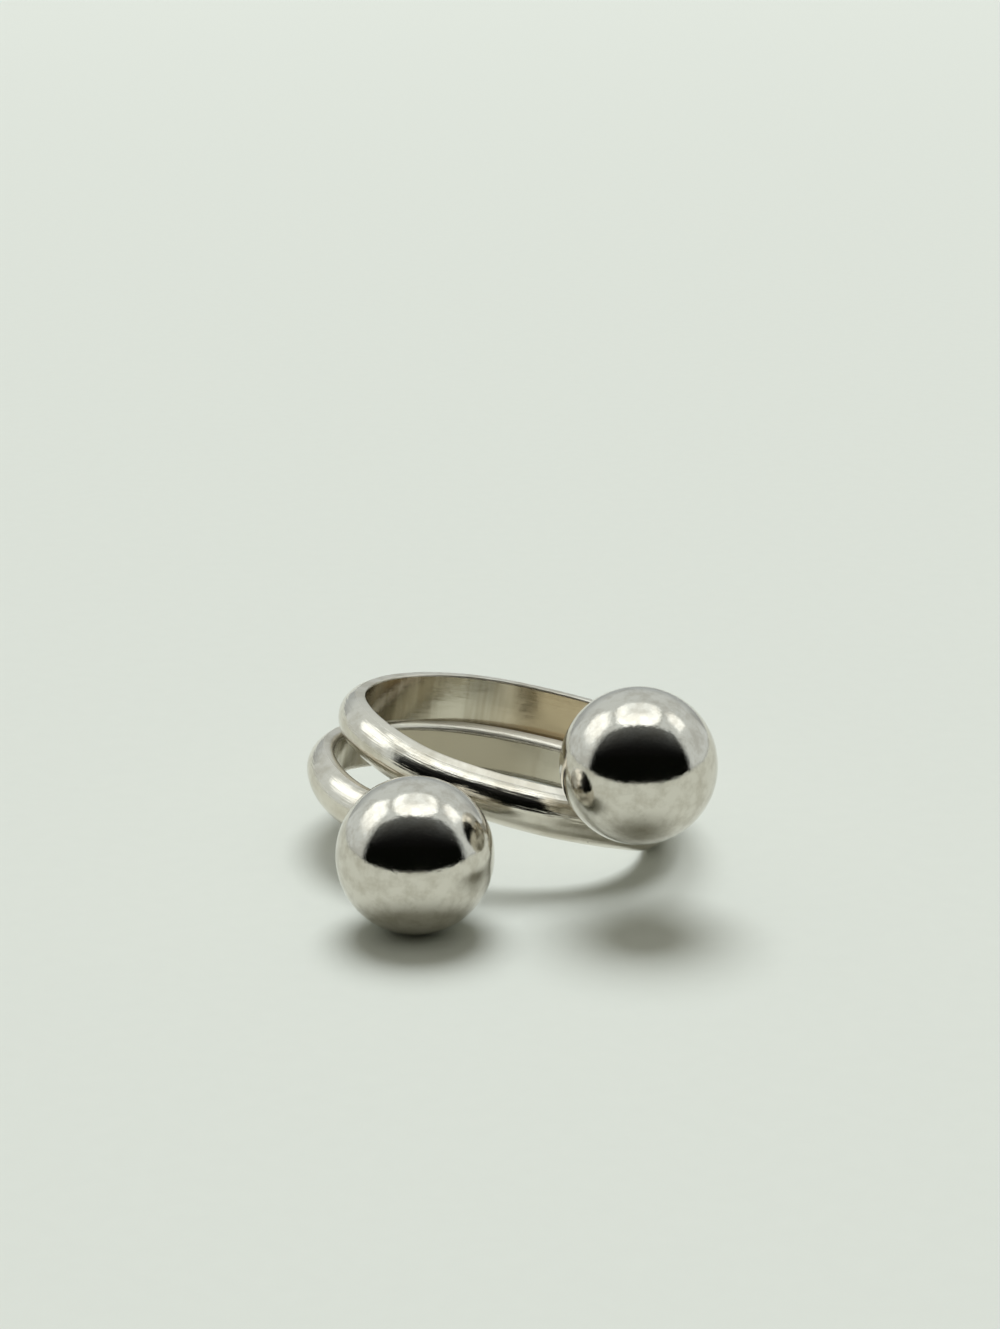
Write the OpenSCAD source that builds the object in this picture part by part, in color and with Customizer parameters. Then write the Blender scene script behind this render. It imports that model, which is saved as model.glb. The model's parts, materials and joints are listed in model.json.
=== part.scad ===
// Adjustable ring: one length of half-round wire wound almost twice round the finger,
// with each end let into a plain round ball and soldered there.
// It lies on its side, on the lower ball and the lower edge of its lower wrap.
//
// Angles along the wire are counted in degrees from the front (the -Y side), going
// to the left, to the back, to the right and round again. The wire climbs as it goes.

/* [Finger] */
// Diameter of the finger that the upper wrap grips
finger_d = 16.4; // [16:0.1:16.5]

/* [Wire] */
// Width of the half-round wire, measured along the finger
wire_w = 2.53; // [2.4:0.01:2.56]
// Thickness of the wire, from its flat inside to the top of its dome
wire_t = 1.36; // [1.2:0.02:1.5]
// Height of the straight side wall before the dome begins
wall_t = 0.52; // [0.42:0.02:0.6]
// Rounding of the two inner edges
edge_r = 0.34; // [0.2:0.02:0.4]

/* [Winding] */
// Inner radius of the lower wrap
lower_r = 8.66; // [8.6:0.02:8.7]
// How far the upper wrap sits to the right of the lower one
shift_x = 1.12; // [1.08:0.01:1.16]
// How far the upper wrap sits to the back of the lower one
shift_y = 1.47; // [1.43:0.01:1.5]
// Angle at which the wire starts to draw in to the upper wrap
draw_from = 295; // [290:1:300]
// Angle at which it has become the upper wrap
draw_to = 389; // [385:1:395]
// Angle of the ball on the lower end
low_ball_a = 28.5; // [27.5:0.5:30]
// Angle of the ball on the upper end
high_ball_a = 707.4; // [706:0.2:709]
// Angle below which the lower end opens outwards
low_bend_a = 60; // [58:1:64]
// How far the lower end has opened outwards at its ball
low_bend = 1.1; // [0.9:0.05:1.3]
// Angle above which the upper end opens outwards
high_bend_a = 620; // [615:1:625]
// How far the upper end has opened outwards at its ball
high_bend = 2.4; // [2.2:0.05:2.6]

/* [Balls] */
// Diameter of each ball
ball_d = 8; // [7.6:0.1:8.2]
// How far each ball reaches inwards past the flat inside of the wire let into it
ball_in = 0.3; // [0.25:0.01:0.45]

/* [Resting pose] */
// Lean to the front with which the ring lies, about the X axis
lean_x = -0.501; // [-3:0.001:3]
// Lean to the right with which the ring lies, about the Y axis
lean_y = 8.395; // [5:0.001:10]
// Turn on the surface that brings the side seen between the balls to the front
turn_z = 12.283; // [0:0.001:30]

/* [Hidden] */
silver = [0.86, 0.85, 0.82];
// Angle between the cross-sections along the wire
step_a = 5;
// Straight pieces across the dome
dome_n = 12;
// Inner radius of the upper wrap before the finger's round is cut, and that cut
cut = 0.05;
upper_r = finger_d / 2 - cut;
// Heights between which the finger's round is cut: the upper wrap's grip, none of the lower
grip_low = -0.45;
grip_high = 8;

// Height of the wire's middle above the middle of the winding.
// Columns: angle along the wire, height in mm.
A = 0;
H = 1;
climb = [
    [28.5, -1.58], [ 60, -1.87], [100, -1.50], [145, -1.86], [190, -2.18], [240, -2.09],
    [264, -1.73], [288, -2.00], [325, -1.02], [360, -0.31], [400, 0.45], [440, 1.09],
    [485, 0.89], [530, 0.61], [580, 0.38], [630, 0.98], [680, 2.71], [707.4, 4.14]
];

function sq(x) = x * x;
function ease(x) = let (u = min(1, max(0, x))) u * u * (3 - 2 * u);

// Row of the climb table that holds angle a, and the slope of the climb at row i
function row_at(a, i = 0) =
    i >= len(climb) - 2 || a < climb[i + 1][A] ? i : row_at(a, i + 1);
function slope_at(i) =
    let (lo = max(0, i - 1), hi = min(len(climb) - 1, i + 1))
    (climb[hi][H] - climb[lo][H]) / (climb[hi][A] - climb[lo][A]);

// Height of the wire's middle at angle a: a smooth curve through the table's rows
function height_at(a) =
    let (
        i = row_at(a),
        gap = climb[i + 1][A] - climb[i][A],
        u = (a - climb[i][A]) / gap,
        u2 = u * u,
        u3 = u2 * u
    )
    climb[i][H] * (2 * u3 - 3 * u2 + 1) + climb[i + 1][H] * (3 * u2 - 2 * u3)
    + gap * (slope_at(i) * (u3 - 2 * u2 + u) + slope_at(i + 1) * (u3 - u2));

// Share of the way from the lower wrap to the upper one
function drawn(a) = ease((a - draw_from) / (draw_to - draw_from));

// Inner radius at angle a, with both ends opening outwards
function inner_r(a) =
    lower_r + (upper_r - lower_r) * drawn(a)
    + low_bend * sq(max(0, low_bend_a - a) / (low_bend_a - low_ball_a))
    + high_bend * sq(max(0, a - high_bend_a) / (high_ball_a - high_bend_a));

// Point beside the wire at angle a: out from its flat inside, and up from its middle
function beside(a, out, up) = [
    -sin(a) * (inner_r(a) + out) + shift_x * drawn(a),
    -cos(a) * (inner_r(a) + out) + shift_y * drawn(a),
    height_at(a) + up
];

// The same point once the ring is laid down
function laid(p) =
    let (
        y1 = p[1] * cos(lean_x) - p[2] * sin(lean_x),
        z1 = p[1] * sin(lean_x) + p[2] * cos(lean_x),
        x2 = p[0] * cos(lean_y) + z1 * sin(lean_y),
        z2 = z1 * cos(lean_y) - p[0] * sin(lean_y)
    )
    [x2 * cos(turn_z) - y1 * sin(turn_z), x2 * sin(turn_z) + y1 * cos(turn_z), z2];

// Half-round cross-section, from the inner top edge over the dome to the inner bottom
// edge. Columns: out from the flat inside, up from the middle.
edge = [for (b = [0:30:90]) [edge_r * (1 - cos(b)), wire_w / 2 - edge_r * (1 - sin(b))]];
section = concat(
    edge,
    [for (k = [0:dome_n])
        let (b = 90 - 180 * k / dome_n)
        [wall_t + (wire_t - wall_t) * cos(b), wire_w / 2 * sin(b)]],
    [for (k = [3:-1:0]) [edge[k][0], -edge[k][1]]]
);

// Cross-sections along the wire, from the middle of one ball to that of the other
n_sta = round((high_ball_a - low_ball_a) / step_a) + 1;
wire_pts = [
    for (i = [0:n_sta - 1])
        let (a = low_ball_a + (high_ball_a - low_ball_a) * i / (n_sta - 1))
        for (q = section) laid(beside(a, q[0], q[1]))
];
n_sec = len(section);
wire_faces = concat(
    [[for (j = [n_sec - 1:-1:0]) j]],
    [[for (j = [0:n_sec - 1]) (n_sta - 1) * n_sec + j]],
    [for (i = [0:n_sta - 2]) for (j = [0:n_sec - 1])
        let (a = i * n_sec + j, b = i * n_sec + (j + 1) % n_sec)
        each [[a, b, b + n_sec], [a, b + n_sec, a + n_sec]]]
);

// Middles of the two balls, each at an end of the wire
seat = ball_d / 2 - ball_in;
low_ball = laid(beside(low_ball_a, seat, 0));
high_ball = laid(beside(high_ball_a, seat, 0));

// The laid ring stands on z = 0 with its box centred on the Z axis
reach = ball_d / 2;
low = [for (k = [0:2]) min(min([for (p = wire_pts) p[k]]), low_ball[k] - reach, high_ball[k] - reach)];
high = [for (k = [0:2]) max(max([for (p = wire_pts) p[k]]), low_ball[k] + reach, high_ball[k] + reach)];
home = [-(low[0] + high[0]) / 2, -(low[1] + high[1]) / 2, -low[2]];

// The wire, wound and laid down
module wire() {
    polyhedron(points = wire_pts, faces = wire_faces);
}

// The round that the finger takes up, along the middle of the upper wrap
module finger() {
    rotate([0, 0, turn_z]) rotate([lean_x, lean_y, 0])
        translate([shift_x, shift_y, grip_low])
            cylinder(d = finger_d, h = grip_high - grip_low, $fn = 96);
}

// One plain ball
module ball() {
    sphere(d = ball_d, $fn = 96);
}

module ring() {
    color(silver)
        translate(home) {
            difference() {
                wire();
                finger();
            }
            translate(low_ball) ball();
            translate(high_ball) ball();
        }
}

ring();
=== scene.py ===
# %% [markdown]
# # An adjustable ring in polished silver
# The real thing is one length of half-round silver wire. It is wound almost twice round
# the finger, and each end is let into a plain round ball and soldered there. It lies on
# its side on a pale table in a small light tent.
#
# The engineering model comes first and stays as it is: every length below is in metres in
# its frame, with +Z up and -Y towards the camera. The looks are built round it, as smooth
# meshes in the same places, because a mirror finish shows every flat face of a plain model.

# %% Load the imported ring
import json
import math
import bpy
import numpy as np
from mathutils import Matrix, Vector

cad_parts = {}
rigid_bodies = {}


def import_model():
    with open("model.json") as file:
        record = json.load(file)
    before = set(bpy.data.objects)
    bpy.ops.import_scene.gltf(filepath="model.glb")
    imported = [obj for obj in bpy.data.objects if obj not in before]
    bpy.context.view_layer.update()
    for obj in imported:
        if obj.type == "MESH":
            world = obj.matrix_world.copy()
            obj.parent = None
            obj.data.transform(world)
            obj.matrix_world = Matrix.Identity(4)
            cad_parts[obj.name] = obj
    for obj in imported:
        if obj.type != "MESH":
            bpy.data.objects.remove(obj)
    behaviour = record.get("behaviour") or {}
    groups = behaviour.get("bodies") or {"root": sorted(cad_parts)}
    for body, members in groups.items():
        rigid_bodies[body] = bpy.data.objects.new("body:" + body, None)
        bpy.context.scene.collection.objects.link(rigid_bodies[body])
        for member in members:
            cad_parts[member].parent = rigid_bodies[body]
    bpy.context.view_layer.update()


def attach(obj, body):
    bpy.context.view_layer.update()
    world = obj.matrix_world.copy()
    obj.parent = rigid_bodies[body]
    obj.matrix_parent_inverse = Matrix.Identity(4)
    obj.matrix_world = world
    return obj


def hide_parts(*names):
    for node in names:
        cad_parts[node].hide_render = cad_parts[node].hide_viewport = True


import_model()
MM = 0.001

# %% [markdown]
# ## The camera
# The photographer stands close and looks down at the ring a little: the circles of the two
# wraps open into ellipses, whose height against width gives the angle. The lens is long,
# so the near ball isn't blown up against the far side of the ring.

# %% Camera
CAMERA_DOWN = 17.207  # degrees below level
eye = bpy.data.cameras.new("camera")
eye.lens = 75.85
eye.sensor_width = 36.0
eye.clip_start, eye.clip_end = 0.01, 30.0
camera = bpy.data.objects.new("camera", eye)
camera.location = (-0.234 * MM, -141.369 * MM, 54.667 * MM)
camera.rotation_euler = (math.radians(90 - CAMERA_DOWN), 0, 0)
bpy.context.scene.collection.objects.link(camera)
bpy.context.scene.camera = camera
bpy.context.scene.view_settings.view_transform = "Standard"
print("camera", round(camera.location.length / MM, 1), "mm from the middle of the floor")

# %% [markdown]
# ## Small helpers
# One helper turns lists of points and faces into an object. Another makes a material and
# hands back its node tree, emptied but for its output. The others each add one kind of
# node to a tree and hand back what comes out of it.

# %% Helpers for meshes and materials
def mesh_object(name, points, faces, smooth=True):
    data = bpy.data.meshes.new(name)
    data.from_pydata([tuple(p) for p in np.asarray(points, float)], [], faces)
    data.validate()
    data.shade_smooth() if smooth else data.shade_flat()
    thing = bpy.data.objects.new(name, data)
    bpy.context.scene.collection.objects.link(thing)
    return thing


def new_material(name):
    material = bpy.data.materials.new(name)
    material.use_nodes = True
    tree = material.node_tree
    tree.nodes.clear()
    return material, tree, tree.nodes.new("ShaderNodeOutputMaterial")


# %% Helpers for nodes
MIX_FIRST, MIX_SECOND, MIX_COLOUR = 6, 7, 2  # the sockets for colours of a Mix node


def kept(tree, name, kind="Vector"):
    node = tree.nodes.new("ShaderNodeAttribute")
    node.attribute_name = name
    return node.outputs[kind]


def noise(tree, vector, scale, detail=3.0, rough=0.5):
    node = tree.nodes.new("ShaderNodeTexNoise")
    node.inputs["Detail"].default_value = detail
    node.inputs["Roughness"].default_value = rough
    tree.links.new(vector, node.inputs["Vector"])
    if isinstance(scale, (int, float)):
        node.inputs["Scale"].default_value = scale
    else:
        tree.links.new(scale, node.inputs["Scale"])
    return node.outputs["Fac"]


def blend_colours(tree, share, first, second):
    node = tree.nodes.new("ShaderNodeMix")
    node.data_type = "RGBA"
    tree.links.new(share, node.inputs[0])
    for socket, value in ((node.inputs[MIX_FIRST], first), (node.inputs[MIX_SECOND], second)):
        if isinstance(value, tuple):
            socket.default_value = value
        else:
            tree.links.new(value, socket)
    return node.outputs[MIX_COLOUR]


# %% [markdown]
# ## The table and the light tent
# A polished ball is a picture of the room. What makes this ring look like silver is a pale
# tent with a bright softbox in its roof, a bright window panel on each side, and a dark
# room in front, where the tent is open and the camera stands.
#
# The tent is a set of cards that only mirror-like rays can see: they draw the reflections
# without lighting the table twice. The table is lit by one real, wide area light and by a
# pale surround. It is cut in two at the tent's mouth, so that the balls mirror the part
# inside the tent, and the part outside is there only to stand on.

# %% The table
MOUTH = -75  # mm, where the tent is open
TABLE_SIZE = 6.0  # m from the middle to each edge
PAPER_GREY, PAPER_PALE = (0.715, 0.757, 0.711, 1), (0.733, 0.776, 0.729, 1)
GRAIN_PER_M = 900


def sheet_corners(y0, y1):
    half = TABLE_SIZE
    return [(-half, y0, 0), (half, y0, 0), (half, y1, 0), (-half, y1, 0)]


table_paint, tree, out = new_material("stage.table")
paper = tree.nodes.new("ShaderNodeBsdfDiffuse")
where = tree.nodes.new("ShaderNodeTexCoord")
grain = noise(tree, where.outputs["Object"], GRAIN_PER_M, detail=2.0)
tree.links.new(blend_colours(tree, grain, PAPER_GREY, PAPER_PALE), paper.inputs["Color"])
tree.links.new(paper.outputs[0], out.inputs["Surface"])

table = mesh_object("stage_table", sheet_corners(MOUTH * MM, TABLE_SIZE), [(0, 1, 2, 3)])
table_front = mesh_object("stage_table_front", sheet_corners(-TABLE_SIZE, MOUTH * MM),
                          [(0, 1, 2, 3)])
table_front.visible_glossy = False
for part in (table, table_front):
    part.data.materials.append(table_paint)
print("table", 2 * TABLE_SIZE, "m across, mirrored from", MOUTH, "mm on")

# %% [markdown]
# A card is a sheet that glows. It is given as rows of points, and each point has a share
# between nought and one: the glow runs from dim to bright between them, so a card can fade
# out at one edge the way hanging cloth does.

# %% Cards that only mirrors see
def card_glow(name, dim, bright):
    material, tree, out = new_material("stage." + name)
    glow = tree.nodes.new("ShaderNodeEmission")
    share = kept(tree, "share", "Fac")
    tree.links.new(blend_colours(tree, share, (*dim, 1), (*bright, 1)), glow.inputs["Color"])
    tree.links.new(glow.outputs[0], out.inputs["Surface"])
    return material


def card(name, rows_mm, material, shares=None, closed=False):
    rows = np.array(rows_mm, float) * MM
    n, m = rows.shape[:2]
    faces = [(i * m + j, i * m + (j + 1) % m, (i + 1) * m + (j + 1) % m, (i + 1) * m + j)
             for i in range(n - 1) for j in range(m if closed else m - 1)]
    thing = mesh_object("stage_" + name, rows.reshape(-1, 3), faces, smooth=False)
    share = np.ones((n, m)) if shares is None else np.array(shares, float)
    share = np.repeat(share[:, None], m, 1) if share.ndim == 1 else share
    layer = thing.data.attributes.new("share", "FLOAT", "POINT")
    layer.data.foreach_set("value", share.astype(np.float32).ravel())
    thing.data.materials.append(material)
    thing.visible_camera = thing.visible_diffuse = False
    thing.visible_shadow = thing.visible_transmission = False
    return thing


def tone(level, colour=(0.93, 1.0, 1.0)):
    return tuple(level * c for c in colour)


def ease(x, low, high):
    u = np.clip((x - low) / (high - low), 0, 1)
    return u * u * (3 - 2 * u)


print("half way along a fade the share is", ease(0.5, 0, 1))

# %% [markdown]
# The tent is 0.8 m wide and 0.4 m high. The back sheet is dimmer near the table, and thin
# darker strips of painted shade run where the side sheets meet the table and the roof. The
# side sheets reach past their frame, and their glow fades out over some centimetres at the
# mouth: painted shade for the less lit cloth there.

# %% The tent's cloth
BACK, HIGH, WIDE = 520, 400, 400  # mm to the back sheet, the roof and each side
# The second value is the dimmer glow of the strips of painted shade along the corners.
CLOTH, CORNER_SHADE = 0.77, 0.50  # how bright the sheets and their seams glow
FRAME = -60  # mm, where the frame of the side sheets ends
LOOSE_FROM = {"left": -54, "right": -60}  # mm, where each side sheet hangs loose
CURTAIN = 75  # mm over which it fades out


def stage_count():
    return sum(o.name.startswith("stage_") for o in bpy.data.objects)


cloth = card_glow("cloth", tone(0.0), tone(CLOTH))
corner_shade = card_glow("corner_shade", tone(0.0), tone(CORNER_SHADE))
fade = np.linspace(0, 1, 9)
for side, name in ((-1, "left"), (1, "right")):
    x, inner, loose = side * WIDE, side * (WIDE - 2), LOOSE_FROM[name]
    card(name + "_wall", [[(x, loose, z), (x, BACK, z)] for z in (0, HIGH)], cloth)
    # the curtain's glow fades out towards the mouth: painted shade
    card(name + "_curtain", [[(x, loose - CURTAIN * t, z) for z in (0, HIGH)] for t in fade],
         cloth, 1 - ease(fade, -0.1, 1))
    # strips of painted shade along the corners at the table and at the roof
    for strip, ends in (("_foot", (0, 11)), ("_top_corner_shade", (391, 399))):
        card(name + strip, [[(inner, FRAME, z), (inner, BACK, z)] for z in ends], corner_shade)
card("back_wall", [[(-WIDE, BACK, z), (WIDE, BACK, z)] for z in (0, 90, 230, HIGH)], cloth,
     (0.60, 0.66, 0.95, 1.0))
card("roof", [[(-WIDE, y, HIGH), (WIDE, y, HIGH)] for y in (MOUTH, BACK)], cloth)
print("tent", 2 * WIDE, "by", HIGH, "mm,", stage_count(), "stage pieces so far")

# %% [markdown]
# The softbox hangs in the roof. It is brightest along its front and its sides, because a
# baffle hides the lamp in the middle. The two panels are lamps behind the side cloth, so
# their edges melt into it. In front of the tent the room's ceiling still catches a little
# light, so the dark reflection starts as a deep grey under the softbox and turns black.
#
# Each lamp's card is made of rings from its outline to its middle, so that its glow can
# change with the depth from the edge.

# %% Softbox, panels and the ceiling in front
HUNG, BESIDE = HIGH - 2, WIDE - 4  # mm, just under the roof and just inside a wall
LAMP_WHITE = (0.95, 1.0, 1.0)
GLOW_FROM_Y, GLOW_DEEP, GLOW_MID_X, GLOW_HALF_X = 244, 326, 12, 150  # mm
CEILING_Z, CEILING_FROM, CEILING_DEEP, CEILING_HALF = 1000, -170, 1300, 2500  # mm


def rings(outline, count=10, split=5):
    outline = np.array(outline, float)
    side = np.concatenate([np.linspace(a, b, split, endpoint=False)
                           for a, b in zip(outline, np.roll(outline, -1, 0))])
    middle = side.mean(0)
    depth = np.linspace(0, 0.98, count)  # the last ring stays open, just round the middle
    points = middle + (side - middle) * (1 - depth)[:, None, None]
    return points, np.repeat(depth[:, None], len(side), 1)


def cushion(half_x, half_y, mid_y, power=0.66, count=48):
    turn = np.linspace(0, 2 * math.pi, count, endpoint=False)
    x, y = (np.sign(v) * np.abs(v) ** power for v in (np.cos(turn), np.sin(turn)))
    return np.stack([half_x * x, mid_y + half_y * y, np.full(count, float(HUNG))], 1)


softbox, depth = rings(cushion(184, 163, 82), split=1)
to_front = ease((GLOW_FROM_Y - softbox[..., 1]) / GLOW_DEEP, 0.40, 0.68)
to_side = ease(np.abs(softbox[..., 0] - GLOW_MID_X) / GLOW_HALF_X, 0.42, 0.72)
rim = ease(depth, 0.0, 0.10) * (1 - to_front) + to_front
card("softbox", softbox, card_glow("softbox", tone(0.96), tone(1.90, LAMP_WHITE)),
     rim * np.maximum(0.36, np.maximum(to_front, 0.8 * to_side)), closed=True)
left, depth = rings([(-BESIDE, -32, 150), (-BESIDE, -36, 384), (-226, 10, HUNG),
                     (-196, 214, HUNG), (-380, 392, HUNG), (-BESIDE, 216, 170),
                     (-BESIDE, 60, 122)])
card("left_panel", left, card_glow("left_panel", tone(CLOTH), tone(1.75, LAMP_WHITE)),
     ease(depth, 0.0, 0.32) * ease(left[..., 2], 100, 280), closed=True)
right, depth = rings([(262, 26, HUNG), (BESIDE, -26, 320), (BESIDE, 148, 262),
                      (BESIDE, 246, 392), (300, 252, HUNG), (210, 156, HUNG)])
card("right_panel", right, card_glow("right_panel", tone(CLOTH), tone(1.62, LAMP_WHITE)),
     ease(depth, 0.0, 0.40), closed=True)
away = np.linspace(0, 1, 13)
card("ceiling", [[(side * CEILING_HALF, CEILING_FROM - CEILING_DEEP * t, CEILING_Z)
                  for side in (-1, 1)] for t in away],
     card_glow("ceiling", tone(0.004), tone(0.21)), (1 - away) ** 4.2)
print(stage_count(), "stage pieces")

# %% [markdown]
# One real area light lights the table. It leans from behind, so the ring's soft shadow
# falls a little towards the camera.

# %% The soft light
LIGHT_AT = Vector((-0.12, 1.48, 3.9))  # m
lamp = bpy.data.lights.new("softbox_light", "AREA")
lamp.shape = "DISK"
lamp.size = 2.9
lamp.energy = 134
lamp.color = (0.985, 1.0, 1.02)
light = bpy.data.objects.new("softbox_light", lamp)
light.location = LIGHT_AT
light.rotation_euler = (-LIGHT_AT).to_track_quat("-Z", "Y").to_euler()
light.visible_glossy = light.visible_camera = False
bpy.context.scene.collection.objects.link(light)
print("light", lamp.energy, "W, leaning",
      round(math.degrees(math.atan2(LIGHT_AT.y, LIGHT_AT.z))), "degrees")

# %% [markdown]
# The surround is three things in one: for the camera it is the table's own tone, for the
# mirrors it is the dark room beyond the tent's mouth, and for the table it is a warm fill
# that comes mostly from above. Next to none of it comes in level with the table, so the
# shadow closes where the lower ball touches down.

# %% The surround
FILL_FROM, FILL_TO = 0.2, 0.85  # sine of the heights between which the fill grows
SEEN, DARK = (0.655, 0.700, 0.655, 1), (0.0025, 0.0030, 0.0022, 1)
LEVEL, ABOVE = (0.012, 0.012, 0.010, 1), (0.47, 0.455, 0.395, 1)


def parts_of(tree, vector):
    node = tree.nodes.new("ShaderNodeSeparateXYZ")
    tree.links.new(vector, node.inputs[0])
    return list(node.outputs)


def ramp(tree, value, low, high):
    node = tree.nodes.new("ShaderNodeMapRange")
    node.interpolation_type = "SMOOTHSTEP"
    tree.links.new(value, node.inputs["Value"])
    node.inputs["From Min"].default_value = low
    node.inputs["From Max"].default_value = high
    return node.outputs["Result"]


world = bpy.data.worlds.new("surround")
bpy.context.scene.world = world
world.use_nodes = True
tree = world.node_tree
tree.nodes.clear()
out = tree.nodes.new("ShaderNodeOutputWorld")
glow = tree.nodes.new("ShaderNodeBackground")
rays = tree.nodes.new("ShaderNodeLightPath")
way = tree.nodes.new("ShaderNodeTexCoord")
height = parts_of(tree, way.outputs["Generated"])[2]
fill = blend_colours(tree, ramp(tree, height, FILL_FROM, FILL_TO), LEVEL, ABOVE)
for_mirrors = blend_colours(tree, rays.outputs["Is Glossy Ray"], fill, DARK)
for_camera = blend_colours(tree, rays.outputs["Is Camera Ray"], for_mirrors, SEEN)
tree.links.new(for_camera, glow.inputs["Color"])
tree.links.new(glow.outputs[0], out.inputs["Surface"])
print("the fill grows from", round(math.degrees(math.asin(FILL_FROM))), "to",
      round(math.degrees(math.asin(FILL_TO))), "degrees above the table")

# %% [markdown]
# ## The wire's path
# The wire starts in the lower ball at the front left, runs round the back as the lower
# wrap, crosses to the front as the slanting strand between the balls, draws in, and runs
# round again as the smaller upper wrap to the upper ball. Angles count from the front to
# the left, to the back, and round again.
#
# A few rows of angle and height are enough for the climb. The curve through them is then
# averaged over some degrees on each side. The engineering model can keep its small kinks,
# but a mirror shows them as breaks in every reflected edge.

# %% The winding's sizes, as in the engineering model
# lengths in mm, angles in degrees
LOW_BALL, HIGH_BALL = 28.5, 707.4
DRAW_FROM, DRAW_TO = 295, 389
LOW_BEND_A, LOW_BEND, HIGH_BEND_A, HIGH_BEND = 60, 1.1, 620, 2.4
FINGER_R, LOWER_R, UPPER_R = 8.2, 8.66, 8.15
SHIFT_X, SHIFT_Y = 1.12, 1.47
WIRE_W, WIRE_T, WALL_T, SOFT_R = 2.53, 1.36, 0.52, 0.34
BALL_R, BALL_IN = 4.0, 0.3
LEAN_X, LEAN_Y, TURN_Z = (math.radians(v) for v in (-0.501, 8.395, 12.283))
HOME = np.array((-0.59156, 2.88847, 4.52302))
CLIMB = np.array([
    (28.5, -1.58), (60, -1.87), (100, -1.50), (145, -1.86), (190, -2.18), (240, -2.09),
    (264, -1.73), (288, -2.00), (325, -1.02), (360, -0.31), (400, 0.45), (440, 1.09),
    (485, 0.89), (530, 0.61), (580, 0.38), (630, 0.98), (680, 2.71), (707.4, 4.14)])


def climb_at(angle):
    # a cubic between two rows, each row's slope being that from the row before to the next
    a, h = CLIMB[:, 0], CLIMB[:, 1]
    slope = np.gradient(h, np.arange(len(h))) / np.gradient(a, np.arange(len(a)))
    i = np.clip(np.searchsorted(a, angle, side="right") - 1, 0, len(a) - 2)
    gap = a[i + 1] - a[i]
    u = (angle - a[i]) / gap
    return (h[i] * (2 * u**3 - 3 * u**2 + 1) + h[i + 1] * (3 * u**2 - 2 * u**3)
            + gap * (slope[i] * (u**3 - 2 * u**2 + u) + slope[i + 1] * (u**3 - u**2)))


def radius_at(angle):
    drawn = ease(angle, DRAW_FROM, DRAW_TO)
    low_bend = np.maximum(0, LOW_BEND_A - angle) / (LOW_BEND_A - LOW_BALL)
    high_bend = np.maximum(0, angle - HIGH_BEND_A) / (HIGH_BALL - HIGH_BEND_A)
    radius = (LOWER_R + (UPPER_R - LOWER_R) * drawn
              + LOW_BEND * low_bend ** 2 + HIGH_BEND * high_bend ** 2)
    return radius, drawn


print("height at the back of each wrap:", np.round(climb_at(np.array([180.0, 540.0])), 2))

# %% The path, averaged so that it has no kinks
STEP = 0.75  # degrees between two sections
N_ALONG = int(round((HIGH_BALL - LOW_BALL) / STEP)) + 1
along_a = np.linspace(LOW_BALL, HIGH_BALL, N_ALONG)


def settled(values, spread_deg=4.5):
    reach = int(3 * spread_deg / STEP)
    weight = np.exp(-0.5 * (np.arange(-reach, reach + 1) * STEP / spread_deg) ** 2)
    padded = np.concatenate([2 * values[0] - values[reach:0:-1], values,
                             2 * values[-1] - values[-2:-reach - 2:-1]])
    return np.convolve(padded, weight / weight.sum(), mode="valid")


radius, drawn = radius_at(along_a)
path_r, path_drawn, path_h = settled(radius), settled(drawn), settled(climb_at(along_a))
print(N_ALONG, "places along the wire, moved at most",
      round(float(np.abs(path_h - climb_at(along_a)).max()), 3), "mm up or down")

# %% [markdown]
# ## The half-round section
# Half-round wire has a flat inside, two short straight walls and a dome that is part of a
# circle. The die leaves the two inner edges rounded, and wear rounds them more. Points just
# beside each bend hold the flats flat when the mesh is shaded smooth. The points run from
# the top edge over the dome to the bottom edge and back up along the flat inside.

# %% Points round the section
N_EDGE, N_BOW, N_FLAT = 6, 16, 8
HOLD = 0.03  # mm from a bend to the point that holds the flat beside it


def half_round(top_r, bottom_r, top_wall, top_fall=0.0):
    w = WIRE_W / 2

    def half(r, wall, fall):
        turn = np.radians(np.linspace(90, 0, N_EDGE))
        side = ([(r * (1 - math.sin(t)), w - r * (1 - math.cos(t))) for t in turn]
                + [(r + HOLD, w), (wall - HOLD, w)])
        start, rise = w - fall, WIRE_T - wall
        big = (start * start + rise * rise) / (2 * rise)
        bow = np.linspace(math.asin(start / big), 0, N_BOW)
        return ([(o, u - fall * o / wall) for o, u in side]
                + [(WIRE_T - big * (1 - math.cos(b)), big * math.sin(b)) for b in bow])

    flat = [(0, u) for u in np.linspace(-w + bottom_r + HOLD, w - top_r - HOLD, N_FLAT)]
    under = [(o, -u) for o, u in half(bottom_r, WALL_T, 0)[-2::-1]]
    return np.array(half(top_r, top_wall, top_fall) + under + flat)


plain = half_round(SOFT_R, SOFT_R, WALL_T)
N_ROUND = len(plain)
girth = np.r_[0, np.cumsum(np.hypot(*np.diff(plain, axis=0).T))]
print(N_ROUND, "points round the wire,", round(float(girth[-1]), 2), "mm round")

# %% [markdown]
# A swept section is too perfect for a ring that was bent by hand over a stick. One table
# holds what the handwork did. The strand rides a little higher, and wear has laid its top
# wall over, so that it catches the softbox. The upper wrap presses down on the lower one at
# the back, and the lower wrap's upper shoulder is fuller there, where the two were squeezed
# together. The lower wrap has the more rounded edges. On top of that the wire rolls by
# about a degree and its dome swells by a few hundredths of a millimetre, in slow waves of a
# few sines, which bends the long reflections.

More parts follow.
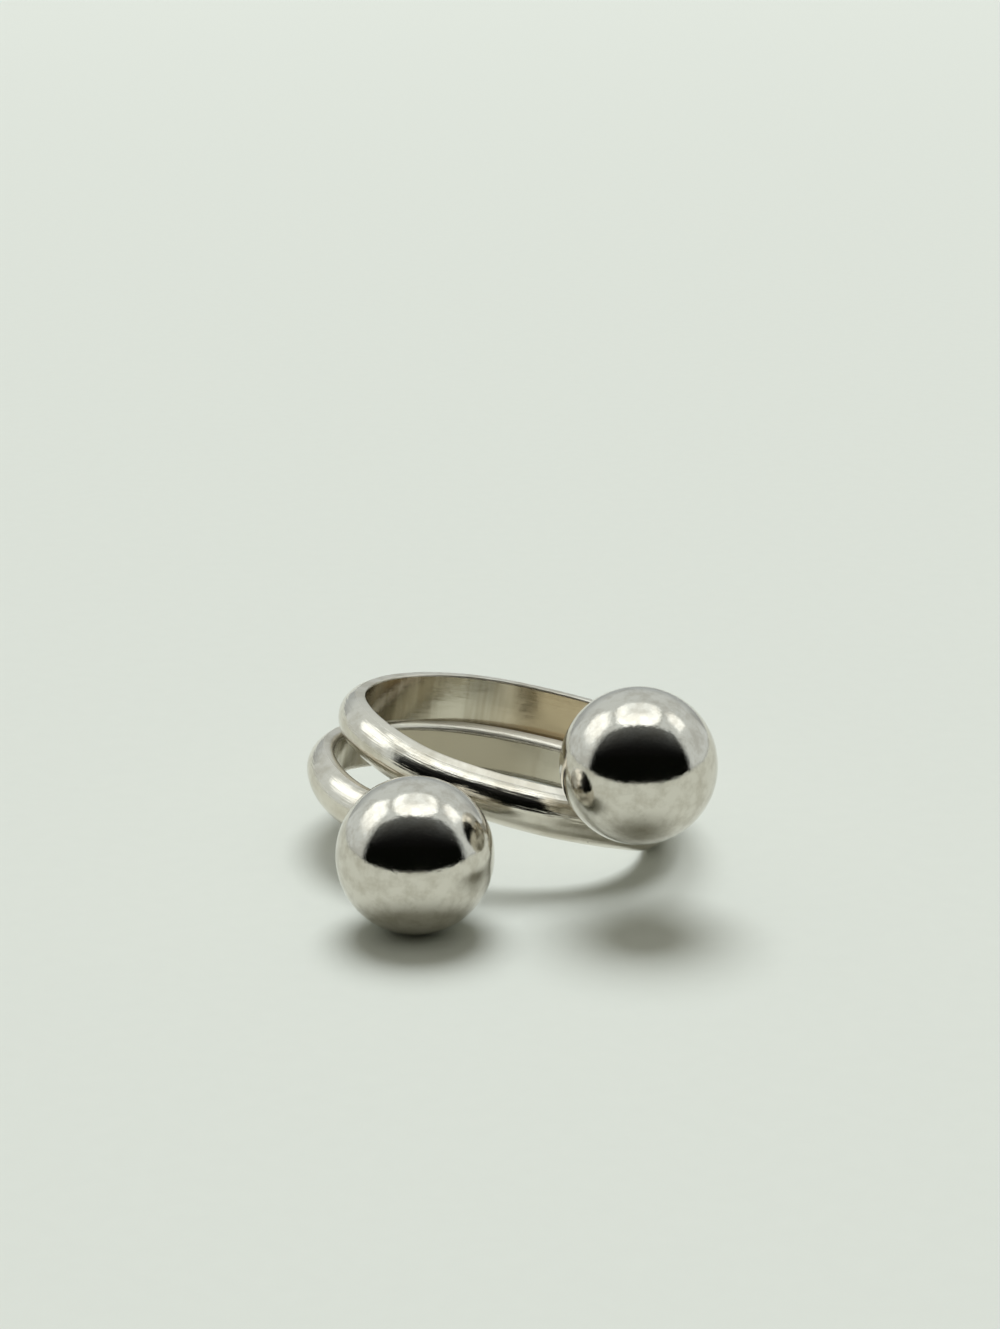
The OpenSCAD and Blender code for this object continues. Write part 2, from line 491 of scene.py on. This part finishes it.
# %% Sweep the section along the path
# Columns: angle and roll in degrees; then in mm how far the top and the foot are moved, the
# rounding of the top and the bottom edge, the top wall's length and how far it falls
HANDWORK = np.array([
    ( 28.5,  0,  0.00,  0.00, 0.30, 0.30, 0.52, 0.00),
    (100.0,  0,  0.00,  0.00, 0.30, 0.30, 0.56, 0.00),
    (145.0,  0,  0.00,  0.00, 0.38, 0.34, 0.98, 0.00),
    (185.0,  0,  0.08,  0.00, 0.40, 0.34, 0.98, 0.00),
    (215.0,  0,  0.00,  0.00, 0.42, 0.34, 0.98, 0.00),
    (270.0,  0,  0.02,  0.00, 0.38, 0.34, 0.98, 0.00),
    (305.0,  0,  0.05,  0.02, 0.20, 0.30, 0.54, 0.06),
    (330.0, -1,  0.24,  0.10, 0.14, 0.28, 0.52, 0.23),
    (345.0, -2,  0.32,  0.12, 0.12, 0.25, 0.52, 0.24),
    (380.0, -3,  0.09,  0.00, 0.12, 0.20, 0.52, 0.24),
    (405.0, -3,  0.00,  0.00, 0.14, 0.17, 0.52, 0.16),
    (435.0, -2,  0.00,  0.00, 0.14, 0.14, 0.52, 0.04),
    (480.0,  0,  0.04,  0.00, 0.13, 0.12, 0.52, 0.00),
    (515.0,  0,  0.10, -0.18, 0.13, 0.10, 0.52, 0.00),
    (538.0,  0,  0.11, -0.40, 0.13, 0.10, 0.52, 0.00),
    (552.0,  0,  0.10, -0.50, 0.13, 0.10, 0.52, 0.00),
    (605.0,  0,  0.03, -0.50, 0.13, 0.10, 0.52, 0.00),
    (650.0,  0,  0.00, -0.10, 0.13, 0.12, 0.52, 0.00),
    (680.0,  0,  0.00,  0.00, 0.13, 0.12, 0.52, 0.00)])
lean, top_move, foot_move, top_edge, bottom_edge, top_wall, top_fall = (
    settled(np.interp(along_a, HANDWORK[:, 0], column), 5) for column in HANDWORK[:, 1:].T)
lift, taller = (top_move + foot_move) / 2, 1 + (top_move - foot_move) / WIRE_W
sections = np.array([half_round(*row) for row in zip(top_edge, bottom_edge, top_wall, top_fall)])


ROLL_WAVE, SWELL_WAVE = 0.8, 0.012  # degrees, and share of the dome's height


def slow_wave(t, seed, waves=((37, 1.0), (61, 0.7), (103, 0.4))):
    rng = np.random.default_rng(seed)
    return sum(size * np.sin(t * 2 * math.pi / period + rng.uniform(0, 6.28))
               for period, size in waves) / 1.4


def beside(angle, r, share, height, out, up):
    a = np.radians(angle)
    return np.stack([-np.sin(a) * (r + out) + SHIFT_X * share,
                     -np.cos(a) * (r + out) + SHIFT_Y * share, height + up], -1)


def turned(a, b, angle):
    return (a * math.cos(angle) - b * math.sin(angle), a * math.sin(angle) + b * math.cos(angle))


def laid(p):
    x, y, z = p[..., 0], p[..., 1], p[..., 2]
    y, z = turned(y, z, LEAN_X)
    z, x = turned(z, x, LEAN_Y)
    x, y = turned(x, y, TURN_Z)
    return np.stack([x, y, z], -1) + HOME


def wire_grid():
    # out is away from the finger and up is along it; o and u are the same after the roll
    out, up = sections[..., 0], sections[..., 1]
    roll = np.radians(lean + ROLL_WAVE * slow_wave(along_a, 3))[:, None]
    swell = 1 + SWELL_WAVE * slow_wave(along_a, 8)[:, None]
    mid = WALL_T / 2
    o = mid + (out - mid) * np.cos(roll) - up * np.sin(roll)
    u = (out - mid) * np.sin(roll) + up * taller[:, None] * np.cos(roll)
    o = np.where(out > WALL_T, WALL_T + (o - WALL_T) * swell, o)
    o = np.maximum(o, FINGER_R - path_r[:, None])
    return laid(beside(along_a[:, None], path_r[:, None], path_drawn[:, None],
                       (path_h + lift)[:, None], o, u))


grid = wire_grid()
print("wire box in mm", np.round(grid.min((0, 1)), 2), np.round(grid.max((0, 1)), 2))

# %% The wire's mesh
def tube_faces(n_along, n_round):
    faces = [tuple(range(n_round))[::-1]]
    for i in range(n_along - 1):
        for j in range(n_round):
            k = (j + 1) % n_round
            faces.append((i * n_round + j, i * n_round + k, (i + 1) * n_round + k,
                          (i + 1) * n_round + j))
    faces.append(tuple((n_along - 1) * n_round + j for j in range(n_round)))
    return faces


wire = mesh_object("wire", grid.reshape(-1, 3) * MM, tube_faces(N_ALONG, N_ROUND))
print("wire:", len(wire.data.vertices), "points,", len(wire.data.polygons), "faces")

# %% [markdown]
# The finishes have to know where they are on the wire, so each point keeps three notes.
# "lay" runs along the wire and round it in millimetres, and the marks of the tools follow
# it. "zone" tells the flat inside from the walls and edges, which the buff reaches least.
# The third note tells where wear has changed the metal and where shade and a highlight are
# painted on: a browned stretch inside the upper wrap, partly tarnish and partly painted shade;
# the pale ledge on top of the lower wrap, where the upper one rubs on it, partly wear and
# partly a painted highlight; and the dull, darker inside at the back of the lower wrap,
# partly unbuffed metal and partly painted shade.

# %% Three notes at each point of the wire
# Stretches that are partly real wear and partly painted light: the brown inside the upper wrap
# and the darker back of the lower wrap are painted shade, the pale ledge a painted highlight
BROWNED_AND_SHADED = (538, 566, 600, 650)  # degrees: starts, is full, starts to end, has ended
RUBBED_AND_LIT = (110, 165, 240, 300)
DULL_AND_SHADED = (120, 165, 200, 226)
APART = 20  # mm, keeps the marks on the flat inside from running on round the edges


def keep_vector(thing, name, values):
    layer = thing.data.attributes.new(name, "FLOAT_VECTOR", "POINT")
    layer.data.foreach_set("vector", np.asarray(values, np.float32).ravel())


middle = grid.mean(1)
run = np.r_[0, np.cumsum(np.linalg.norm(np.diff(middle, axis=0), axis=1))]
lay = np.empty((N_ALONG, N_ROUND, 3))
lay[..., 0] = run[:, None]
lay[..., 1] = np.where(plain[:, 0] > 0.01, girth, APART + plain[:, 1])[None, :]
lay[..., 2] = plain[None, :, 0]
keep_vector(wire, "lay", lay.reshape(-1, 3))

# from the top edge over the dome to the foot, and the rest is the flat inside
foot = N_ROUND - N_FLAT - 1
zone = np.zeros((N_ROUND, 3))
zone[foot + 1:, 0] = zone[[0, foot], 0] = 1
zone[2:9, 1] = zone[foot - 8:foot - 1, 1] = 1
zone[[1, foot - 1], :2] = 0.5
keep_vector(wire, "zone", np.tile(zone, (N_ALONG, 1)))


def stretch(start, full, fading, end):
    return (ease(along_a, start, full) * (1 - ease(along_a, fading, end)))[:, None]


# how far the pale ledge reaches, from the top edge outwards: rubbed wear and painted highlight
ledge = np.zeros(N_ROUND)
ledge[1:11] = 0.2, 0.3, 0.5, 0.8, 1, 1, 1, 1, 1, 1
wear_and_light = np.zeros((N_ALONG, N_ROUND, 3))
wear_and_light[..., 0] = stretch(*BROWNED_AND_SHADED)
wear_and_light[..., 1] = stretch(*RUBBED_AND_LIT) * ledge
wear_and_light[..., 2] = stretch(*DULL_AND_SHADED)
keep_vector(wire, "wear_and_light", wear_and_light.reshape(-1, 3))
print("wire:", round(float(run[-1]), 1), "mm long, with its lay, zone and age")

# %% [markdown]
# ## The two balls
# A silver ball this size is cast or spun, then tumbled and buffed. It is nearly a perfect
# sphere, but the buff leaves it out of round by about a hundredth of a millimetre, and its
# dark mirrored room has slightly wandering edges because of that. A fine triangle sphere
# has no poles where the reflections would pinch, so its points are made from the twenty
# faces of an icosahedron, split six times, and then moved by a few soft lobes. Each point
# keeps its place on the ball as its "lay", for the finishes.

# %% Ball points
def icosphere(splits):
    g = (1 + 5**0.5) / 2
    points = [(-1, g, 0), (1, g, 0), (-1, -g, 0), (1, -g, 0), (0, -1, g), (0, 1, g),
              (0, -1, -g), (0, 1, -g), (g, 0, -1), (g, 0, 1), (-g, 0, -1), (-g, 0, 1)]
    faces = [(0, 11, 5), (0, 5, 1), (0, 1, 7), (0, 7, 10), (0, 10, 11), (1, 5, 9), (5, 11, 4),
             (11, 10, 2), (10, 7, 6), (7, 1, 8), (3, 9, 4), (3, 4, 2), (3, 2, 6), (3, 6, 8),
             (3, 8, 9), (4, 9, 5), (2, 4, 11), (6, 2, 10), (8, 6, 7), (9, 8, 1)]
    points = [np.array(p) / np.linalg.norm(p) for p in points]
    for _ in range(splits):
        halves, finer = {}, []

        def half(a, b):
            key = (min(a, b), max(a, b))
            if key not in halves:
                p = points[a] + points[b]
                points.append(p / np.linalg.norm(p))
                halves[key] = len(points) - 1
            return halves[key]

        for a, b, c in faces:
            ab, bc, ca = half(a, b), half(b, c), half(c, a)
            finer += [(a, ab, ca), (b, bc, ab), (c, ca, bc), (ab, bc, ca)]
        faces = finer
    return np.array(points), faces


ball_points, ball_faces = icosphere(6)
print("ball:", len(ball_points), "points,", len(ball_faces), "faces")

# %% Shape and place the two balls
LOBES = ((0.007, 1.5), (0.006, 3.0), (0.003, 6.0))  # height in mm, and how narrow
UNDER = 0.004  # mm, so that the highest lobe just reaches the true ball's size


def make_ball(name, centre, seed):
    rng = np.random.default_rng(seed)
    lobes = np.zeros(len(ball_points))
    for size, sharp in LOBES:
        for _ in range(5):
            way = rng.normal(size=3)
            way /= np.linalg.norm(way)
            lobes += rng.choice((-1, 1)) * size * np.exp(sharp * (ball_points @ way - 1)) / 2
    points = ball_points * (BALL_R + lobes - UNDER)[:, None]
    thing = mesh_object(name, (points + centre) * MM, ball_faces)
    keep_vector(thing, "lay", points)
    print(name, "at", np.round(centre, 2), "mm, out of round", round(float(np.ptp(lobes)), 4))
    return thing


SEAT = BALL_R - BALL_IN
low_centre, high_centre = (
    laid(beside(a, *radius_at(np.array(a)), climb_at(np.array([a]))[0], SEAT, 0.0))
    for a in (LOW_BALL, HIGH_BALL))
lower_ball = make_ball("lower_ball", low_centre, 11)
upper_ball = make_ball("upper_ball", high_centre, 12)

# %% [markdown]
# ## The solder round each seat
# Where the wire enters a ball, hard solder has drawn into the corner and left a small
# hollow fillet. It could be cut from a copy of both shapes, but a strip is simpler: each
# line of the wire is followed out of the ball to the place where it crosses the sphere,
# and a short curved bridge is hung there from the wire to the ball. Its reach wanders round
# the seat, as solder does, and it lies a few thousandths of a millimetre proud at both ends.

# %% Solder fillets
REACH, BROAD_WAVE, FINE_WAVE = 0.24, 0.05, 0.03  # mm
ON_WIRE, ON_BALL = 0.004, 0.006  # mm that the fillet lies proud
N_FILLET = 9
N_SEARCHED = 80  # sections from the ball's middle in which its surface is crossed


def solder(name, centre, rows, seed):
    lines = grid[rows]
    far = np.linalg.norm(lines - centre, axis=2)
    rng = np.random.default_rng(seed)
    phase = rng.uniform(0, 6.28, 3)
    points, cols = [], np.arange(N_ROUND)
    normal = np.cross(np.roll(lines, -1, 1) - np.roll(lines, 1, 1), np.gradient(lines, axis=0))
    normal /= np.linalg.norm(normal, axis=2, keepdims=True)
    hub = lines[0].mean(0)
    if np.mean(np.einsum("ij,ij->i", normal[0], lines[0] - hub)) < 0:
        normal = -normal
    turn = 2 * math.pi * cols / N_ROUND
    reach = (REACH + BROAD_WAVE * np.sin(2 * turn + phase[0])
             + FINE_WAVE * np.sin(5 * turn + phase[1]))
    for j in cols:
        # this line of the wire comes out of the ball between sections k - 1 and k
        k = int(np.argmax(far[:, j] > BALL_R))
        u = (BALL_R - far[k - 1, j]) / (far[k, j] - far[k - 1, j])
        corner = lines[k - 1, j] * (1 - u) + lines[k, j] * u
        way = lines[k + 2, j] - lines[k - 1, j]
        on_wire = corner + way / np.linalg.norm(way) * reach[j] + normal[k, j] * ON_WIRE
        ball_n = (corner - centre) / BALL_R
        side = normal[k, j] - ball_n * (normal[k, j] @ ball_n)
        on_ball = corner + side / np.linalg.norm(side) * reach[j] - centre
        on_ball = centre + on_ball / np.linalg.norm(on_ball) * (BALL_R + ON_BALL)
        for t in np.linspace(0, 1, N_FILLET):
            points.append(on_wire * (1 - t) ** 2 + corner * 2 * t * (1 - t) + on_ball * t**2)
    faces = [(a + i, a + i + 1, b + i + 1, b + i)
             for a, b in zip(cols * N_FILLET, np.roll(cols, -1) * N_FILLET)
             for i in range(N_FILLET - 1)]
    thing = mesh_object(name, np.array(points) * MM, faces)
    keep_vector(thing, "lay", np.array(points) - centre)
    print(name, "reaches", round(float(reach.min()), 2), "to", round(float(reach.max()), 2), "mm")
    return thing


from_low = np.arange(N_SEARCHED)
lower_solder = solder("lower_solder", low_centre, from_low, 21)
upper_solder = solder("upper_solder", high_centre, N_ALONG - 1 - from_low, 22)

# %% [markdown]
# ## Finishes as node groups
# All the silver shows the same few effects, so each is built once as a node group with
# named sockets, and every material then sets its own values. The first is tarnish: silver
# greys and yellows in slow patches, mostly where the buff can't reach. It puts out a colour
# between clean and stained metal, and the mask of the stained places.

# %% A new group, and sums between its nodes
def new_group(name, takes, gives):
    group = bpy.data.node_groups.new(name, "ShaderNodeTree")
    kinds = {"v": "NodeSocketVector", "f": "NodeSocketFloat", "c": "NodeSocketColor"}
    for label, kind in takes:
        group.interface.new_socket(label, in_out="INPUT", socket_type=kinds[kind])
    for label, kind in gives:
        group.interface.new_socket(label, in_out="OUTPUT", socket_type=kinds[kind])
    return group, group.nodes.new("NodeGroupInput"), group.nodes.new("NodeGroupOutput")


def maths(tree, what, a, b=None, c=None, clamp=False):
    node = tree.nodes.new("ShaderNodeMath")
    node.operation = what
    node.use_clamp = clamp
    for socket, value in zip(node.inputs, (a, b, c)):
        if isinstance(value, (int, float)):
            socket.default_value = value
        elif value is not None:
            tree.links.new(value, socket)
    return node.outputs[0]


# %% Tarnish
tarnish, ins, outs = new_group(
    "tarnish",
    [("Vector", "v"), ("Clean", "c"), ("Stained", "c"), ("Size", "f"), ("Amount", "f")],
    [("Color", "c"), ("Mask", "f")])
per_mm = maths(tarnish, "DIVIDE", 1.0, ins.outputs["Size"])
patches = ramp(tarnish, noise(tarnish, ins.outputs["Vector"], per_mm, 5, 0.6), 0.38, 0.68)
mask = maths(tarnish, "MULTIPLY", patches, ins.outputs["Amount"], clamp=True)
tarnish.links.new(blend_colours(tarnish, mask, ins.outputs["Clean"], ins.outputs["Stained"]),
                  outs.inputs["Color"])
tarnish.links.new(mask, outs.inputs["Mask"])
print("tarnish:", len(tarnish.nodes), "nodes")

# %% [markdown]
# Next is what the tools left. Drawing the wire through its die scores fine lines along it:
# noise that is stretched along the lay, as a height for a Bump node. The buff leaves marks
# too small to see one by one, and broader places where it dwelt: a fine height and a broad
# mask. The last effect is dust, a few specks that sit on the metal and mirror nothing.

# %% Drawn lines, buff marks and dust
lines, ins, outs = new_group(
    "drawn_lines", [("Vector", "v"), ("Spacing", "f"), ("Length", "f")], [("Height", "f")])
join = lines.nodes.new("ShaderNodeCombineXYZ")
along, across, _ = parts_of(lines, ins.outputs["Vector"])
for way, axis, size in ((along, "X", "Length"), (across, "Y", "Spacing")):
    lines.links.new(maths(lines, "DIVIDE", way, ins.outputs[size]), join.inputs[axis])
lines.links.new(noise(lines, join.outputs[0], 1.0, 3, 0.6), outs.inputs["Height"])

marks, ins, outs = new_group(
    "buff_marks", [("Vector", "v"), ("Size", "f")], [("Height", "f"), ("Mask", "f")])
per_mm = maths(marks, "DIVIDE", 1.0, ins.outputs["Size"])
fine = noise(marks, ins.outputs["Vector"], per_mm, 4, 0.65)
marks.links.new(fine, outs.inputs["Height"])
dwelt = noise(marks, ins.outputs["Vector"], maths(marks, "MULTIPLY", per_mm, 0.12), 2)
marks.links.new(ramp(marks, dwelt, 0.45, 0.75), outs.inputs["Mask"])

dust, ins, outs = new_group(
    "dust", [("Vector", "v"), ("Apart", "f"), ("Grain", "f"), ("Share", "f")], [("Mask", "f")])
cells = dust.nodes.new("ShaderNodeTexVoronoi")
dust.links.new(ins.outputs["Vector"], cells.inputs["Vector"])
dust.links.new(maths(dust, "DIVIDE", 1.0, ins.outputs["Apart"]), cells.inputs["Scale"])
pick = dust.nodes.new("ShaderNodeSeparateColor")
dust.links.new(cells.outputs["Color"], pick.inputs[0])
chosen = maths(dust, "LESS_THAN", pick.outputs[0], ins.outputs["Share"])
grain_r = maths(dust, "DIVIDE", ins.outputs["Grain"], ins.outputs["Apart"])
grain_r = maths(dust, "MULTIPLY", grain_r, maths(dust, "ADD", pick.outputs[1], 0.4))
speck = maths(dust, "LESS_THAN", cells.outputs["Distance"], grain_r)
dust.links.new(maths(dust, "MULTIPLY", chosen, speck), outs.inputs["Mask"])
print("groups:", [g.name for g in (tarnish, lines, marks, dust)])

# %% [markdown]
# ## Silver
# Polished silver is a metal with very little roughness. Its own colour is pale and a little
# warm, and most of its dark tones are what it mirrors. The inside of the wraps is
# different. A buff wheel hardly gets in there, so the flat is greyer and blotched, and it is
# also painted darker as painted shade. One stretch of the upper wrap is painted brown, partly
# tarnish and partly painted shade and warm reflection, and the back of the lower wrap is
# painted dull and dark all over, partly unbuffed metal and partly painted shade. The ledge
# where the wraps rub is painted pale and less of a mirror: partly its fine scratches, partly a
# painted highlight for the softbox's reflection on its rounded edge.
#
# One function makes the metal for every kind of piece. Colours and roughness are mixed from
# the masks. The bumps are laid one over the other, from the slow waves to the finest lines,
# and each depth is given in millimetres.

# %% Bumps laid one over the other
def stacked(tree, bumps):
    normal = None
    for height, depth in bumps:
        bump = tree.nodes.new("ShaderNodeBump")
        bump.inputs["Distance"].default_value = depth * MM
        tree.links.new(height, bump.inputs["Height"])
        if normal:
            tree.links.new(normal, bump.inputs["Normal"])
        normal = bump.outputs["Normal"]
    return normal


# %% The silver material
DUST = (0.42, 0.41, 0.37)
STAIN_DULLS, DWELT_DULLS, DUST_DULLS = 0.05, 0.02, 0.5  # roughness that each mask adds
FLAT_DULLS, EDGE_DULLS = 0.06, 0.22
# The ledge's pale paint and its loss of mirror are partly rubbed wear and partly a painted
# highlight.
LEDGE_PALES = -0.9  # what the rubbed ledge has lost of being a mirror
COARSE_OVER_FINE = 2.2  # how much deeper the coarse drawn lines are
FLAT_SMOOTHS = -0.85  # what the flat inside has lost of them


def silver(name, clean, stained, stain_mm, stain, rough, wave, buff, lay_lines=0.0, inner=None):
    material, tree, out = new_material(name)
    metal = tree.nodes.new("ShaderNodeBsdfPrincipled")
    tree.links.new(metal.outputs[0], out.inputs["Surface"])
    lay = kept(tree, "lay")

    def place(group, **values):
        node = tree.nodes.new("ShaderNodeGroup")
        node.node_tree = group
        tree.links.new(lay, node.inputs["Vector"])
        for label, value in values.items():
            node.inputs[label].default_value = value
        return node

    def more(mask, amount, base, clamp=False):
        return maths(tree, "MULTIPLY_ADD", mask, amount, base, clamp)

    patches = place(tarnish, Clean=(*clean, 1), Stained=(*stained, 1), Size=stain_mm,
                    Amount=stain)
    specks = place(dust, Apart=0.9, Grain=0.045, Share=0.24).outputs["Mask"]
    scuffs = place(marks, Size=0.16)
    skin = patches.outputs["Color"]
    bare = maths(tree, "SUBTRACT", 1.0, specks)
    dull = more(patches.outputs["Mask"], STAIN_DULLS, rough)
    dull = more(scuffs.outputs["Mask"], DWELT_DULLS, dull)
    bumps = [(place(marks, Size=3.2).outputs["Height"], wave), (scuffs.outputs["Height"], buff)]
    if inner:
        flat, edges, _ = parts_of(tree, kept(tree, "zone"))
        browned_and_shaded, ledge, unbuffed_and_shaded = parts_of(tree, kept(tree, "wear_and_light"))
        colours = {key: (*value, 1) for key, value in inner.items()}
        bands = place(lines, Spacing=14.0, Length=1.7).outputs["Height"]
        blotches = ramp(tree, bands, 0.45, 0.70)
        # The flat inside is painted darker in upright blotches, browner in one stretch and dark
        # at the back of the lower wrap: partly tarnish and unbuffed metal, partly painted shade
        # and warm reflection
        inside = blend_colours(tree, blotches, colours["grey"], colours["dull"])
        inside = blend_colours(tree, browned_and_shaded, inside, colours["brown_and_shade"])
        inside = blend_colours(tree, unbuffed_and_shaded, inside, colours["dull"])
        skin = blend_colours(tree, flat, skin, inside)
        # painted highlight: the ledge is painted pale and made less of a mirror, for the
        # softbox's reflection on its rounded edge as well as for its rubbed wear
        skin = blend_colours(tree, ledge, skin, colours["ledge"])
        bare = more(ledge, LEDGE_PALES, bare, clamp=True)
        dull = more(edges, EDGE_DULLS, more(flat, FLAT_DULLS, dull))
        score = more(place(lines, Spacing=0.42, Length=3.4).outputs["Height"], COARSE_OVER_FINE,
                     place(lines, Spacing=0.12, Length=5.0).outputs["Height"])
        score = maths(tree, "MULTIPLY", score, more(flat, FLAT_SMOOTHS, 1.0))
        bumps.append((score, lay_lines))
    tree.links.new(blend_colours(tree, specks, skin, (*DUST, 1)), metal.inputs["Base Color"])
    tree.links.new(bare, metal.inputs["Metallic"])
    tree.links.new(more(specks, DUST_DULLS, dull), metal.inputs["Roughness"])
    tree.links.new(stacked(tree, bumps), metal.inputs["Normal"])
    return material


# %% One silver for each kind of piece
# Inside colours: grey, dull and brown are partly the metal's own tarnish and partly painted shade
# and reflection; the pale ledge colour is partly wear and partly a painted highlight
INSIDE = {"grey": (0.62, 0.575, 0.47), "dull": (0.40, 0.355, 0.265),
          "brown_and_shade": (0.55, 0.445, 0.29), "ledge": (0.90, 0.87, 0.75)}
wire_silver = silver("silver.wire", (0.73, 0.685, 0.60), (0.54, 0.49, 0.40), stain_mm=1.5,
                     stain=0.8, rough=0.075, wave=0.026, buff=0.002, lay_lines=0.015,
                     inner=INSIDE)
ball_silver = silver("silver.ball", (0.69, 0.655, 0.585), (0.50, 0.46, 0.39), stain_mm=0.8,
                     stain=0.75, rough=0.06, wave=0.022, buff=0.004)
seat_silver = silver("silver.solder", (0.70, 0.65, 0.56), (0.50, 0.43, 0.33), stain_mm=0.7,
                     stain=0.8, rough=0.14, wave=0.03, buff=0.004)
print("materials:", [m.name for m in (wire_silver, ball_silver, seat_silver)])

# %% [markdown]
# ## Hand over
# Every piece rides on the ring's one body and stands in for the plain solid.

# %% Ride, replace and finish
for piece, finish in ((wire, wire_silver), (lower_ball, ball_silver), (upper_ball, ball_silver),
                      (lower_solder, seat_silver), (upper_solder, seat_silver)):
    piece.data.materials.append(finish)
    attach(piece, "root")
    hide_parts("ring")
